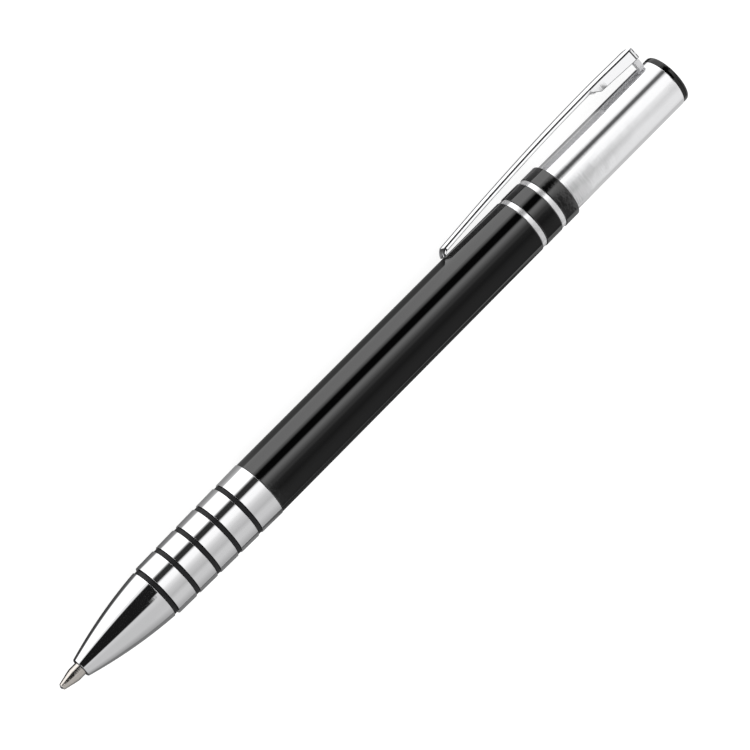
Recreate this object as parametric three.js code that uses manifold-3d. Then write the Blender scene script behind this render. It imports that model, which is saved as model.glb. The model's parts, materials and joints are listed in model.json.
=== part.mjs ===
// A retractable metal ballpoint pen: chrome grip with five black rings, black barrel, and a chrome
// plunger sleeve that carries the spring clip and is pressed as a whole to work the point.
//
// Lengths are in millimetres. Stations run along the pen from the ball (0) to the end cap, radii
// from its axis. The pen is built with its axis along X and its clip on +Y, and is then rolled
// until it lies on the floor on its barrel and on one edge of the clip.

import * as THREE from 'three';
import { mergeVertices } from 'three/addons/utils/BufferGeometryUtils.js';
import Module from 'manifold-3d';

const wasm = await Module();
wasm.setup();

// Facets of a turned piece, and of the slim ones near the point
const SIDES = 32;
const SLIM_SIDES = 24;

// Clearances: a running fit, pieces that meet, loose pieces, and the thread's stand-in
const RUN = 0.045;
const SEAM = 0.03;
const SLACK = 0.1;
const THREAD = 0.05;
const TIP_ROOM = 0.19;
const NECK_ROOM = 0.25;
const SPRING_ROOM = 0.15;
const REFILL_ROOM = 0.15;

// Breaks on turned edges: outside edges, the collar's mouth, and the lead-ins of hidden pieces
const EDGE = 0.12;
const COLLAR_EDGE = 0.3;
const LEAD = 0.3;

// Travel of the plunger: back to the retracted point, and on past the latched one
const STROKE = 5.5;
const OVERTRAVEL = 1.2;

// Refill
const REFILL_RADIUS = 2.95;
const REFILL_WALL = 0.25;
const NECK_RADIUS = 1.7;
const NECK_START = 8.35;
const SHOULDER = 18.0;
const PLUG_HEAD = 4.3;
const PLUG_SPIGOT = 2.8;
const PLUG_HOLE = 0.95;
const PLUG_HOLE_DEPTH = 1.6;
const PLUG_CROSS = 0.8;
const BALL_RADIUS = 0.5;
const BALL_ROOM = 0.04;
const TIP_RADIUS = 1.16;
const TIP_CONE = 2.8;
const TIP_SHANK = 3.0;
const TIP_SHANK_STEP = 0.16;
const INK_BORE = 0.35;

// Latch: a housing with slots, a turning cam and the rod that pushes it
const SLOTS = 4;
const SLOT_WIDTH = 1.3;
const FIN_WIDTH = 0.9;
const FIN_DEPTH = 0.45;
const FIN_LENGTH = 2.4;
const FIN_RAMP = 0.6;
const HOUSING_WALL = 0.25;
const HOUSING_FOOT = 7.0;
const ROD_FIN_LENGTH = 4.5;
const ROD_FIN_GUIDE = 1.5;
const CAM_LENGTH = 3.4;
const CAM_BORE = 1.2;
const CAM_PILOT = 0.85;
const TEETH = 8;
const TOOTH_HEIGHT = 0.7;
const TOOTH_ROOT = 0.3;
const TOOTH_SHARE = 0.999;
// The notches that hold the cam, in shares of the way from a slot to the middle of a rib
const NOTCHES = [0.7, 1.25];
const NOTCH_SHARE = 0.5;
const ROD_STEM_RADIUS = 2.0;
const ROD_FLANGE = 1.7;

// Plunger sleeve, over the latch
const SLEEVE_GAP = 0.32;
const SLEEVE_WALL = 0.35;
const SLEEVE_OUT = 25.05;
const SLEEVE_GUIDE = 7.1;
const CAP_STEP = 0.05;
const CAP_THICKNESS = 1.15;
const CAP_STUD_RADIUS = 1.5;
const CAP_STUD_LENGTH = 3.6;
const CAP_RIM = 0.3;

// Barrel and collar, over the sleeve
const BUSH_WALL = 0.12;
const BARREL_WALL = 0.285;
const BARREL_LENGTH = 58.7;
const COLLAR_RING_WIDTH = 0.9;
const COLLAR_RING_RECESS = 0.13;
const COLLAR_BAND_LENGTH = 3.5;
const COLLAR_END_LENGTH = 2.9;
const BUSH_SEAT = 4.0;

// Nose and grip. The lip of the cone, and the grip's two ends, are given against the barrel's radius.
const TIP_REACH = 4.2;
const FRONT_LENGTH = 38.5;
const NOSE_RADIUS = 1.65;
const CONE_LENGTH = 15.7;
const CONE_BULGE = 0.79;
const CONE_LIP = -0.5;
const GRIP_START = -0.3;
const GRIP_END = 0.08;
const GRIP_RINGS = 5;
const GRIP_REST = 0.7;
const GROOVE_WIDTH = 0.85;
const GROOVE_DEPTH = 0.6;
const RING_RECESS = 0.15;
const SPIGOT_LENGTH = 7.5;
const SPIGOT_RELIEF = 0.25;
const INSERT_WALL = 0.485;

// Return spring
const WIRE_RADIUS = 0.2;
const COIL_TURNS = 7;
const COIL_EASE = 0.2;
const SPRING_SEAT = 10.4;

// Clip: sheet metal, a flat arm that deepens into a channel at its head
const CLIP_WIDTH = 4.0;
const CLIP_TIP_WIDTH = 2.9;
const CLIP_SHEET = 0.45;
const CLIP_ARM_DEPTH = 0.7;
const CLIP_LENGTH = 46.3;
const CLIP_SETBACK = 0.46;
const CLIP_HEAD_LENGTH = 8.5;
const CLIP_HEAD_DEPTH = 2.02;
const CLIP_STEP_DEPTH = 1.72;
const CLIP_STEP_LENGTH = 1.45;
const CLIP_CORNER = 1.2;
const CLIP_PLAN_CORNER = 0.7;
const CLIP_FOOT_GAP = 0.15;
const CLIP_LEG_LENGTH = 1.0;
const CLIP_LEG_WIDTH = 1.1;
const CLIP_LEG_FOOT = 2.6;
const CLIP_LEG_INSET = 0.1;
const CLIP_TOE_BEND = 1.3;
// Height of the clip's outer face over the barrel, at distances forward of the sleeve's end
const CLIP_CREST = [
  [CLIP_LENGTH - CLIP_TOE_BEND, 1.33], [34.3, 2.08], [21.2, 2.73], [9.6, 2.97], [2.7, 2.9],
];

// Radii that follow, from the refill outwards
const refillBore = REFILL_RADIUS + REFILL_ROOM;
const ribRadius = REFILL_RADIUS + SLACK;
const finRadius = ribRadius + FIN_DEPTH;
const freeBore = finRadius + SLACK;
const camRadius = REFILL_RADIUS - SLACK;
const housingRadius = freeBore + HOUSING_WALL;
const sleeveBore = housingRadius + SLEEVE_GAP;
const sleeveRadius = sleeveBore + SLEEVE_WALL;
const capRadius = sleeveRadius - CAP_STEP;
const bushBore = sleeveRadius + RUN;
const barrelBore = bushBore + BUSH_WALL + SEAM;
const barrelRadius = barrelBore + BARREL_WALL;
const spigotRadius = barrelBore - SEAM - INSERT_WALL - THREAD;
const shankRadius = TIP_RADIUS - TIP_SHANK_STEP;
const coilRadius = NECK_RADIUS + NECK_ROOM + SLACK + WIRE_RADIUS;

// Stations that follow from the lengths above
const noseFace = TIP_REACH;
const joint = noseFace + FRONT_LENGTH;
const firstGroove = noseFace + CONE_LENGTH;
const groovePitch = (joint - firstGroove - GRIP_REST) / GRIP_RINGS;
const barrelEnd = joint + BARREL_LENGTH;
const bandStart = barrelEnd + COLLAR_RING_WIDTH + 2 * SEAM;
const bandEnd = bandStart + COLLAR_BAND_LENGTH;
const bushShoulder = bandEnd + COLLAR_RING_WIDTH + 2 * SEAM;
const collarEnd = bushShoulder + COLLAR_END_LENGTH;
const sleeveFoot = collarEnd - STROKE - SLEEVE_GUIDE;
const sleeveTop = collarEnd + SLEEVE_OUT;
const capFace = sleeveTop + CAP_THICKNESS;
const clipEnd = sleeveTop - CLIP_SETBACK;
const clipHead = clipEnd - CLIP_HEAD_LENGTH;
const clipToe = sleeveTop - CLIP_LENGTH;

// The latch stands on the refill, whose length leaves it room in the collar
const refillEnd = barrelEnd - 3.3;
const camFoot = refillEnd + SEAM;
const finFoot = camFoot + 0.4;
const finTop = finFoot + FIN_LENGTH;
const camTop = camFoot + CAM_LENGTH + TOOTH_HEIGHT;
const rodFoot = camTop + SLACK;
const ribFoot = finTop + SLACK;
const rodFinFoot = rodFoot + TOOTH_HEIGHT + 1.2;
const housingFoot = sleeveFoot - OVERTRAVEL - 2.8 - HOUSING_FOOT;
const housingTop = rodFinFoot + STROKE + ROD_FIN_GUIDE;
const rodFlange = housingTop + OVERTRAVEL + 0.2;
const coreFoot = rodFlange + ROD_FLANGE + SLACK;
const rodTop = sleeveTop - CAP_STUD_LENGTH - 4.7;

// Finishes
const finish = (color, roughness, metalness) => () =>
  new THREE.MeshStandardMaterial({ color, roughness, metalness });
const chrome = finish(0xd9dbde, 0.08, 1);
const blackLacquer = finish(0x0a0a0b, 0.12, 0.1);
const blackRubber = finish(0x111112, 0.6, 0);
const nickelSilver = finish(0xb9ad93, 0.25, 1);
const brass = finish(0xc2a35a, 0.35, 1);
const steel = finish(0xa9adb2, 0.3, 1);
const carbide = finish(0x8f9296, 0.15, 1);
const whitePlastic = finish(0xe9e9e4, 0.45, 0);
const blackPlastic = finish(0x1c1c1e, 0.4, 0);

// Welds a geometry's corners, drops slivers and turns its faces outwards
function closed(geometry) {
  geometry.deleteAttribute('normal');
  geometry.deleteAttribute('uv');
  const welded = mergeVertices(geometry, 1e-4);
  const position = welded.getAttribute('position');
  const corners = welded.getIndex().array;
  const faces = [];
  let volume = 0;
  const [a, b, c] = [new THREE.Vector3(), new THREE.Vector3(), new THREE.Vector3()];
  for (let i = 0; i < corners.length; i += 3) {
    const [p, q, r] = corners.slice(i, i + 3);
    if (p === q || q === r || r === p) continue;
    faces.push([p, q, r]);
    a.fromBufferAttribute(position, p);
    b.fromBufferAttribute(position, q);
    c.fromBufferAttribute(position, r);
    volume += a.dot(b.cross(c));
  }
  welded.setIndex(faces.map((face) => (volume < 0 ? face.reverse() : face)).flat());
  return welded;
}

function toSolid(geometry) {
  const shell = closed(geometry);
  const vertProperties = Float32Array.from(shell.getAttribute('position').array);
  const triVerts = Uint32Array.from(shell.getIndex().array);
  return new wasm.Manifold(new wasm.Mesh({ numProp: 3, vertProperties, triVerts }));
}

function toGeometry(solid) {
  const { vertProperties, triVerts } = solid.getMesh();
  const geometry = new THREE.BufferGeometry();
  geometry.setAttribute('position', new THREE.Float32BufferAttribute(vertProperties, 3));
  geometry.setIndex(Array.from(triVerts));
  return geometry;
}

// Cuts and joins are given as geometries
const cut = (base, ...tools) =>
  toGeometry(tools.reduce((solid, tool) => solid.subtract(toSolid(tool)), toSolid(base)));
const join = (base, ...others) =>
  toGeometry(others.reduce((solid, other) => solid.add(toSolid(other)), toSolid(base)));
const common = (base, other) => toGeometry(toSolid(base).intersect(toSolid(other)));

// A turned piece from [station, radius] pairs. An outline off the axis closes on itself.
function turned(outline, sides = SIDES) {
  const points = outline.map(([station, radius]) => new THREE.Vector2(radius, station));
  const onAxis = outline[0][1] === 0;
  if (!onAxis) points.push(points[0].clone());
  return new THREE.LatheGeometry(points, sides).rotateZ(-Math.PI / 2);
}

const tube = (from, to, outer, inner) =>
  turned([[from, inner], [from, outer], [to, outer], [to, inner]]);

// A box bent round the axis: an arc of a ring, its far end face sloping from end to endTo
function arcBlock({ centre, width, inner, outer, from, end, endTo = end, steps = 4 }) {
  const block = new THREE.BoxGeometry(1, 1, 1, steps, 1, 1);
  const position = block.getAttribute('position');
  for (let i = 0; i < position.count; i += 1) {
    const across = position.getX(i);
    const angle = centre + across * width;
    const radius = position.getZ(i) > 0 ? outer : inner;
    const far = THREE.MathUtils.lerp(end, endTo, across + 0.5);
    const station = position.getY(i) > 0 ? far : from;
    position.setXYZ(i, station, radius * Math.cos(angle), radius * Math.sin(angle));
  }
  return block;
}

// Blocks repeated evenly round the axis, the first one centred at phase
function around(count, phase, spec) {
  return Array.from({ length: count }, (_, i) =>
    arcBlock({ ...spec, centre: phase + (i * 2 * Math.PI) / count }));
}

// A ring of saw teeth that climb from the face at station to their full height, rooted below it
function sawTeeth(station, height, root) {
  return around(TEETH, 0, {
    width: ((2 * Math.PI) / TEETH) * TOOTH_SHARE, inner: CAM_BORE + 0.3, outer: camRadius - 0.1,
    from: station + root, end: station, endTo: station + height,
  });
}

const arc = (station, radius, size, from, to, steps) =>
  Array.from({ length: steps + 1 }, (_, i) => {
    const angle = THREE.MathUtils.degToRad(THREE.MathUtils.lerp(from, to, i / steps));
    return [station + size * Math.cos(angle), radius + size * Math.sin(angle)];
  });

// Outer radius of the grip behind its first groove
function gripRadius(station) {
  const start = firstGroove + GROOVE_WIDTH;
  const rise = THREE.MathUtils.mapLinear(station, start, joint, GRIP_START, GRIP_END);
  return barrelRadius + rise;
}

const grooveStart = (index) => firstGroove + index * groovePitch;

// The chrome lip just in front of a groove
const lipRadius = (index) =>
  (index === 0 ? barrelRadius + CONE_LIP : gripRadius(grooveStart(index)));

const ringRadius = (index) => lipRadius(index) - RING_RECESS;

function coneOutline() {
  const lip = barrelRadius + CONE_LIP;
  const rise = lip - NOSE_RADIUS;
  const start = new THREE.Vector2(noseFace, NOSE_RADIUS);
  const bulge = new THREE.Vector2(noseFace + CONE_LENGTH / 2, NOSE_RADIUS + rise * CONE_BULGE);
  const end = new THREE.Vector2(firstGroove, lip);
  const points = new THREE.QuadraticBezierCurve(start, bulge, end).getPoints(9);
  return points.map(({ x, y }) => [x, y]);
}

// Floor and far edge of one groove, with small breaks on its edges
function grooveOutline(index) {
  const start = grooveStart(index);
  const end = start + GROOVE_WIDTH;
  const floor = lipRadius(index) - GROOVE_DEPTH;
  const rear = gripRadius(end);
  return [[start, floor], [end, floor], [end, rear - EDGE], [end + EDGE, rear]];
}

// Nose cone and grip, turned in one piece with the threaded spigot behind it
function frontSection() {
  const outer = coneOutline();
  for (let index = 0; index < GRIP_RINGS; index += 1) {
    if (index > 0) outer.push([grooveStart(index), lipRadius(index)]);
    outer.push(...grooveOutline(index));
  }
  const rear = gripRadius(joint);
  outer.push([joint - EDGE, rear], [joint, rear - EDGE]);
  const spigotEnd = joint + SPIGOT_LENGTH;
  const relief = spigotRadius - SPIGOT_RELIEF;
  const reliefEnd = joint + 3 * SPIGOT_RELIEF;
  outer.push([joint, relief], [reliefEnd, relief], [reliefEnd + SPIGOT_RELIEF, spigotRadius]);
  outer.push([spigotEnd - LEAD, spigotRadius], [spigotEnd, spigotRadius - LEAD]);
  const neckBore = NECK_RADIUS + NECK_ROOM;
  const neckPocket = NECK_START - OVERTRAVEL - LEAD;
  const pocket = coilRadius + WIRE_RADIUS + SPRING_ROOM;
  const pocketEnd = SHOULDER - OVERTRAVEL - 1.0;
  const tipBore = TIP_RADIUS + TIP_ROOM;
  const inner = [
    [spigotEnd, refillBore], [pocketEnd + 0.5, refillBore], [pocketEnd, pocket],
    [SPRING_SEAT, pocket], [SPRING_SEAT, neckBore], [neckPocket, neckBore],
    [neckPocket, tipBore], [noseFace, tipBore],
  ];
  return turned([...outer, ...inner]);
}

// A black rubber ring that sits just below the chrome on either side of it
function gripRing(index) {
  const start = grooveStart(index) + SEAM;
  const end = grooveStart(index) + GROOVE_WIDTH - SEAM;
  const outer = ringRadius(index);
  const inner = lipRadius(index) - GROOVE_DEPTH + SEAM;
  const crown = EDGE / 2;
  return turned([
    [start, inner], [start, outer - crown], [(start + end) / 2, outer], [end, outer - crown],
    [end, inner],
  ]);
}

// Brass bush in the front of the barrel that takes the grip's thread
function threadInsert() {
  const start = joint + LEAD;
  const end = joint + SPIGOT_LENGTH + 2 * LEAD;
  const outer = barrelBore - SEAM;
  const inner = spigotRadius + THREAD;
  const lead = 0.4 * INSERT_WALL;
  return turned([
    [start, inner + lead], [start, outer], [end - lead, outer], [end, outer - lead], [end, inner],
    [start + lead, inner],
  ]);
}

function barrelTube() {
  return turned([
    [joint + SEAM, barrelBore], [joint + SEAM, barrelRadius - EDGE],
    [joint + SEAM + EDGE, barrelRadius], [barrelEnd - EDGE, barrelRadius],
    [barrelEnd, barrelRadius - EDGE], [barrelEnd, barrelBore],
  ]);
}

// The collar is a stack on the bush's spigot: ring, band, ring and the bush's own shoulder
const collarRing = (after) => {
  const start = after + SEAM;
  const end = start + COLLAR_RING_WIDTH;
  return tube(start, end, barrelRadius - COLLAR_RING_RECESS, barrelBore);
};

function collarBand() {
  return turned([
    [bandStart, barrelBore], [bandStart, barrelRadius - EDGE], [bandStart + EDGE, barrelRadius],
    [bandEnd - EDGE, barrelRadius], [bandEnd, barrelRadius - EDGE], [bandEnd, barrelBore],
  ]);
}

function guideBush() {
  const spigot = barrelBore - SEAM;
  return turned([
    [barrelEnd - BUSH_SEAT, bushBore], [barrelEnd - BUSH_SEAT, spigot], [bushShoulder, spigot],
    [bushShoulder, barrelRadius - EDGE], [bushShoulder + EDGE, barrelRadius],
    [collarEnd - COLLAR_EDGE, barrelRadius], [collarEnd, barrelRadius - COLLAR_EDGE],
    [collarEnd, bushBore],
  ]);
}

// Latch housing: its foot is pressed into the barrel and its slotted tube stands up inside the
// plunger sleeve. The ends of the ribs between the slots carry saw teeth that hold the cam.
function camHousing() {
  const footEnd = housingFoot + HOUSING_FOOT;
  const freeFoot = finFoot - OVERTRAVEL - LEAD;
  const shell = turned([
    [housingFoot, refillBore], [housingFoot, barrelBore - SEAM],
    [footEnd - LEAD, barrelBore - SEAM], [footEnd, barrelBore - SEAM - LEAD],
    [footEnd, housingRadius], [housingTop, housingRadius], [housingTop, ribRadius],
    [ribFoot, ribRadius], [ribFoot, freeBore], [freeFoot, freeBore], [freeFoot, refillBore],
  ]);
  const slots = around(SLOTS, 0, {
    width: SLOT_WIDTH / finRadius, inner: camRadius, outer: freeBore - 0.01,
    from: ribFoot - FIN_RAMP, end: housingTop + FIN_RAMP,
  });
  const half = Math.PI / SLOTS;
  const notch = {
    width: half * NOTCH_SHARE, inner: camRadius, outer: freeBore - 0.01,
    from: ribFoot - FIN_RAMP, end: ribFoot, endTo: ribFoot + FIN_RAMP,
  };
  const notches = NOTCHES.flatMap((place) => around(SLOTS, half * place, notch));
  return cut(shell, ...slots, ...notches);
}

// Cam that turns a step at each press. Its fins lie in line with the slots of the housing.
function camRotor() {
  const face = camTop - TOOTH_HEIGHT;
  const floor = face - CAM_LENGTH / 2;
  const body = turned([
    [camFoot - 1, 0], [camFoot - 1, CAM_PILOT], [camFoot, CAM_PILOT], [camFoot, camRadius - 0.2],
    [camFoot + 0.2, camRadius], [face, camRadius], [face, CAM_BORE], [floor, CAM_BORE], [floor, 0],
  ]);
  const fins = around(SLOTS, 0, {
    width: FIN_WIDTH / finRadius, inner: camRadius - 0.5, outer: finRadius,
    from: finFoot, end: finTop - FIN_RAMP, endTo: finTop,
  });
  return join(body, ...fins, ...sawTeeth(face, TOOTH_HEIGHT, -TOOTH_ROOT));
}

// Rod that the plunger drives: toothed foot, four guide fins in the housing's slots, and a stem
function pushRod() {
  const face = rodFoot + TOOTH_HEIGHT;
  const tip = CAM_BORE - TOOTH_ROOT;
  const flange = sleeveBore - 0.5;
  const body = turned([
    [rodFoot, 0], [rodFoot, tip], [face, tip], [face, camRadius], [rodFlange, camRadius],
    [rodFlange, flange], [rodFlange + ROD_FLANGE - 0.5, flange],
    [rodFlange + ROD_FLANGE, ROD_STEM_RADIUS], [rodTop - LEAD, ROD_STEM_RADIUS],
    [rodTop, ROD_STEM_RADIUS - LEAD], [rodTop, 0],
  ]);
  const fins = around(SLOTS, 0, {
    width: FIN_WIDTH / finRadius, inner: camRadius - 0.5, outer: finRadius,
    from: rodFinFoot, end: rodFinFoot + ROD_FIN_LENGTH,
  });
  return join(body, ...fins, ...sawTeeth(face, -TOOTH_HEIGHT, TOOTH_ROOT));
}

// Chrome sleeve, with the slot in its rim that the clip's leg passes through
function plungerSleeve() {
  const shell = turned([
    [sleeveFoot, sleeveBore], [sleeveFoot, sleeveRadius - EDGE],
    [sleeveFoot + EDGE, sleeveRadius], [sleeveTop - EDGE, sleeveRadius],
    [sleeveTop, sleeveRadius - EDGE], [sleeveTop, sleeveBore],
  ]);
  return cut(shell, legSlot(sleeveTop + 1));
}

// The space round the clip's leg, open towards the cap
function legSlot(end) {
  const from = clipEnd - CLIP_LEG_INSET - CLIP_LEG_LENGTH - 2 * SLACK;
  const slot = new THREE.BoxGeometry(end - from, sleeveRadius, CLIP_LEG_WIDTH + 3 * SLACK);
  const floor = CLIP_LEG_FOOT - 2 * SLACK;
  return slot.translate((from + end) / 2, floor + sleeveRadius / 2, 0);
}

// Plug that fills the top of the sleeve and holds the rod, the clip's leg and the cap's stud
function plungerCore() {
  const radius = sleeveBore - SEAM;
  const top = sleeveTop - SEAM;
  const stemBore = ROD_STEM_RADIUS + SEAM;
  const studBore = CAP_STUD_RADIUS + SEAM;
  const stemEnd = rodTop + SEAM;
  const studEnd = sleeveTop - CAP_STUD_LENGTH - SEAM;
  const vent = 0.6;
  const body = turned([
    [coreFoot, stemBore], [coreFoot, radius - LEAD], [coreFoot + LEAD, radius], [top, radius],
    [top, studBore], [studEnd, studBore], [studEnd, vent], [stemEnd, vent], [stemEnd, stemBore],
  ]);
  return cut(body, legSlot(top + 1));
}

function endCap() {
  const seat = sleeveTop + SEAM;
  return turned([
    [sleeveTop - CAP_STUD_LENGTH, 0], [sleeveTop - CAP_STUD_LENGTH, CAP_STUD_RADIUS],
    [seat, CAP_STUD_RADIUS], [seat, capRadius - EDGE], [seat + EDGE, capRadius],
    ...arc(capFace - CAP_RIM, capRadius - CAP_RIM, CAP_RIM, 90, 0, 4), [capFace, 0],
  ]);
}

const clipPoint = ([forward, rise]) =>
  new THREE.Vector2(sleeveTop - forward, barrelRadius + rise);

// Side view of the clip: crest, rounded head, stepped flange, arm, and the foot turned inwards
function clipSide() {
  const crest = new THREE.SplineCurve([...CLIP_CREST].reverse().map(clipPoint)).getPoints(16);
  const crown = crest[0].y;
  const hip = barrelRadius + CLIP_CREST[3][1];
  const ground = barrelRadius + CLIP_FOOT_GAP;
  const corner = arc(clipEnd - CLIP_CORNER, crown - CLIP_CORNER, CLIP_CORNER, 0, 80, 5);
  const step = clipHead - CLIP_STEP_LENGTH;
  const arm = crest.filter(({ x }) => x < step).reverse();
  const foot = [[1.15, 1.02], [0.75, 0.8], [0.2, 0.35], [0, 0.08], [0.1, 0], [0.45, 0], [0.95, 0.32]];
  return new THREE.Shape([
    new THREE.Vector2(clipEnd, crown - CLIP_HEAD_DEPTH),
    ...corner.map(([x, y]) => new THREE.Vector2(x, y)),
    ...crest,
    ...foot.map(([x, y]) => new THREE.Vector2(clipToe + x, ground + y)),
    ...arm.slice(1).map(({ x, y }) => new THREE.Vector2(x, y - CLIP_ARM_DEPTH)),
    new THREE.Vector2(step, hip - CLIP_ARM_DEPTH),
    new THREE.Vector2(clipHead, hip - CLIP_STEP_DEPTH),
  ]);
}

// Plan view of the clip: round toe, long taper, rounded head
function clipPlan() {
  const tipHalf = CLIP_TIP_WIDTH / 2;
  const half = CLIP_WIDTH / 2;
  const corner = CLIP_PLAN_CORNER;
  const shape = new THREE.Shape();
  shape.absarc(clipToe + tipHalf, 0, tipHalf, Math.PI / 2, (3 * Math.PI) / 2, false);
  shape.lineTo(clipHead, -half);
  shape.absarc(clipEnd - corner, -half + corner, corner, -Math.PI / 2, 0, false);
  shape.absarc(clipEnd - corner, half - corner, corner, 0, Math.PI / 2, false);
  shape.lineTo(clipHead, half);
  return shape;
}

// A side view swept right across the clip, and a plan view swept through its height
function swept(shape, depth, curveSegments = 6) {
  const geometry = new THREE.ExtrudeGeometry(shape, { depth, bevelEnabled: false, curveSegments });
  return geometry.translate(0, 0, -depth / 2);
}

function pocketClip() {
  const crown = barrelRadius + CLIP_CREST[4][1];
  const blank = common(
    swept(clipSide(), 2 * CLIP_WIDTH),
    swept(clipPlan(), 4 * CLIP_WIDTH).rotateX(Math.PI / 2),
  );
  const hollowFrom = clipHead - CLIP_STEP_LENGTH + CLIP_SHEET;
  const hollowTo = clipEnd - CLIP_SHEET;
  const hollow = new THREE.BoxGeometry(
    hollowTo - hollowFrom, 2 * CLIP_HEAD_DEPTH, CLIP_WIDTH - 2 * CLIP_SHEET,
  );
  hollow.translate((hollowFrom + hollowTo) / 2, crown - CLIP_SHEET - CLIP_HEAD_DEPTH, 0);
  const legRear = clipEnd - CLIP_LEG_INSET;
  const legTop = crown - CLIP_HEAD_DEPTH + 2 * CLIP_SHEET;
  const leg = new THREE.BoxGeometry(CLIP_LEG_LENGTH, legTop - CLIP_LEG_FOOT, CLIP_LEG_WIDTH);
  leg.translate(legRear - CLIP_LEG_LENGTH / 2, (legTop + CLIP_LEG_FOOT) / 2, 0);
  const bridge = new THREE.BoxGeometry(CLIP_LEG_LENGTH, CLIP_SHEET, CLIP_WIDTH - CLIP_SHEET);
  bridge.translate(legRear - CLIP_LEG_LENGTH / 2, legTop, 0);
  return join(cut(blank, hollow), leg, bridge);
}

// Refill: nickel silver point with its ball, steel tube with a neck for the spring, end plug
function refillTip() {
  const socket = BALL_RADIUS + BALL_ROOM;
  const lip = arc(BALL_RADIUS, 0, socket, 40, 121, 5);
  const shankEnd = NECK_START + TIP_SHANK;
  return turned([
    [lip[5][0], lip[5][1] + 0.06], [BALL_RADIUS - 0.1, BALL_RADIUS + 0.1],
    [1.35, 0.82], [2.1, 1.01], [TIP_CONE, TIP_RADIUS], [NECK_START - SEAM, TIP_RADIUS],
    [NECK_START - SEAM, shankRadius], [shankEnd, shankRadius], [shankEnd, INK_BORE], ...lip,
  ], SLIM_SIDES);
}

function writingBall() {
  return new THREE.SphereGeometry(BALL_RADIUS, 16, 10).translate(BALL_RADIUS, 0, 0);
}

function refillTube() {
  const neckBore = shankRadius + SEAM;
  const bore = REFILL_RADIUS - REFILL_WALL;
  const end = refillEnd - PLUG_HEAD;
  return turned([
    [NECK_START, neckBore], [NECK_START, NECK_RADIUS - 0.2], [NECK_START + 0.2, NECK_RADIUS],
    [SHOULDER, NECK_RADIUS], [SHOULDER, REFILL_RADIUS - LEAD], [SHOULDER + LEAD, REFILL_RADIUS],
    [end, REFILL_RADIUS], [end, bore], [SHOULDER + 0.8, bore], [SHOULDER + 0.4, neckBore],
  ]);
}

function refillPlug() {
  const start = refillEnd - PLUG_HEAD - PLUG_SPIGOT;
  const seat = refillEnd - PLUG_HEAD + SEAM;
  const holeFoot = refillEnd - PLUG_HOLE_DEPTH;
  const spigot = REFILL_RADIUS - REFILL_WALL - SEAM;
  const outer = REFILL_RADIUS - 0.05;
  const body = turned([
    [start, 0], [start, spigot - 0.2], [start + 0.2, spigot], [seat, spigot], [seat, outer],
    [refillEnd - 0.2, outer], [refillEnd, outer - 0.2], [refillEnd, PLUG_HOLE],
    [holeFoot, PLUG_HOLE], [holeFoot, 0],
  ], SLIM_SIDES);
  const slot = new THREE.BoxGeometry(PLUG_HOLE_DEPTH, 3 * REFILL_RADIUS, PLUG_CROSS);
  slot.translate(refillEnd, 0, 0);
  return cut(body, slot, slot.clone().rotateX(Math.PI / 2));
}

// Centre line of the spring's wire: closer turns at both ends, open ones between
class Coil extends THREE.Curve {
  constructor(from, to) {
    super();
    Object.assign(this, { from, to });
  }

  getPoint(t, target = new THREE.Vector3()) {
    const angle = t * COIL_TURNS * 2 * Math.PI;
    const eased = t - (COIL_EASE * Math.sin(2 * Math.PI * t)) / (2 * Math.PI);
    const station = THREE.MathUtils.lerp(this.from, this.to, eased);
    return target.set(station, coilRadius * Math.cos(angle), coilRadius * Math.sin(angle));
  }
}

function returnSpring() {
  const from = SPRING_SEAT + WIRE_RADIUS + RUN;
  const to = SHOULDER - WIRE_RADIUS - RUN;
  const wire = new THREE.Shape();
  wire.absarc(0, 0, WIRE_RADIUS, 0, 2 * Math.PI, false);
  return new THREE.ExtrudeGeometry(wire, {
    steps: COIL_TURNS * 9, curveSegments: 3, bevelEnabled: false,
    extrudePath: new Coil(from, to),
  });
}

const pen = new THREE.Group();

function add(name, geometry, material) {
  const mesh = new THREE.Mesh(closed(geometry), material());
  mesh.name = name;
  pen.add(mesh);
}

add('front_section', frontSection(), chrome);
for (let index = 0; index < GRIP_RINGS; index += 1) {
  add(`grip_ring_${index + 1}`, gripRing(index), blackRubber);
}
add('thread_insert', threadInsert(), brass);
add('barrel_tube', barrelTube(), blackLacquer);
add('collar_ring_1', collarRing(barrelEnd), chrome);
add('collar_band', collarBand(), blackLacquer);
add('collar_ring_2', collarRing(bandEnd), chrome);
add('guide_bush', guideBush(), blackLacquer);
add('cam_housing', camHousing(), whitePlastic);
add('cam_rotor', camRotor(), whitePlastic);
add('push_rod', pushRod(), blackPlastic);
add('plunger_core', plungerCore(), blackPlastic);
add('plunger_sleeve', plungerSleeve(), chrome);
add('end_cap', endCap(), blackLacquer);
add('pocket_clip', pocketClip(), chrome);
add('refill_tip', refillTip(), nickelSilver);
add('writing_ball', writingBall(), carbide);
add('refill_tube', refillTube(), steel);
add('refill_plug', refillPlug(), blackPlastic);
add('return_spring', returnSpring(), steel);

// Lay the pen down: it rests on the barrel and on the near edge of the clip's crest
const crestEdge = new THREE.Vector2(barrelRadius + CLIP_CREST[3][1], CLIP_WIDTH / 2);
const roll = Math.asin(gripRadius(joint) / crestEdge.length()) - crestEdge.angle();
pen.rotation.x = -roll;
pen.updateMatrixWorld(true);
const box = new THREE.Box3().setFromObject(pen, true);
const middle = box.getCenter(new THREE.Vector3());
pen.position.set(-middle.x, -middle.y, -box.min.z);

export default pen;
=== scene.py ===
"""A retractable metal ballpoint pen, lying on white: chrome grip with black rings, gloss black barrel
and collar, and a chrome plunger sleeve with a sheet-metal clip."""
import json
import math

import bmesh
import bpy
from mathutils import Matrix, Vector


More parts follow.
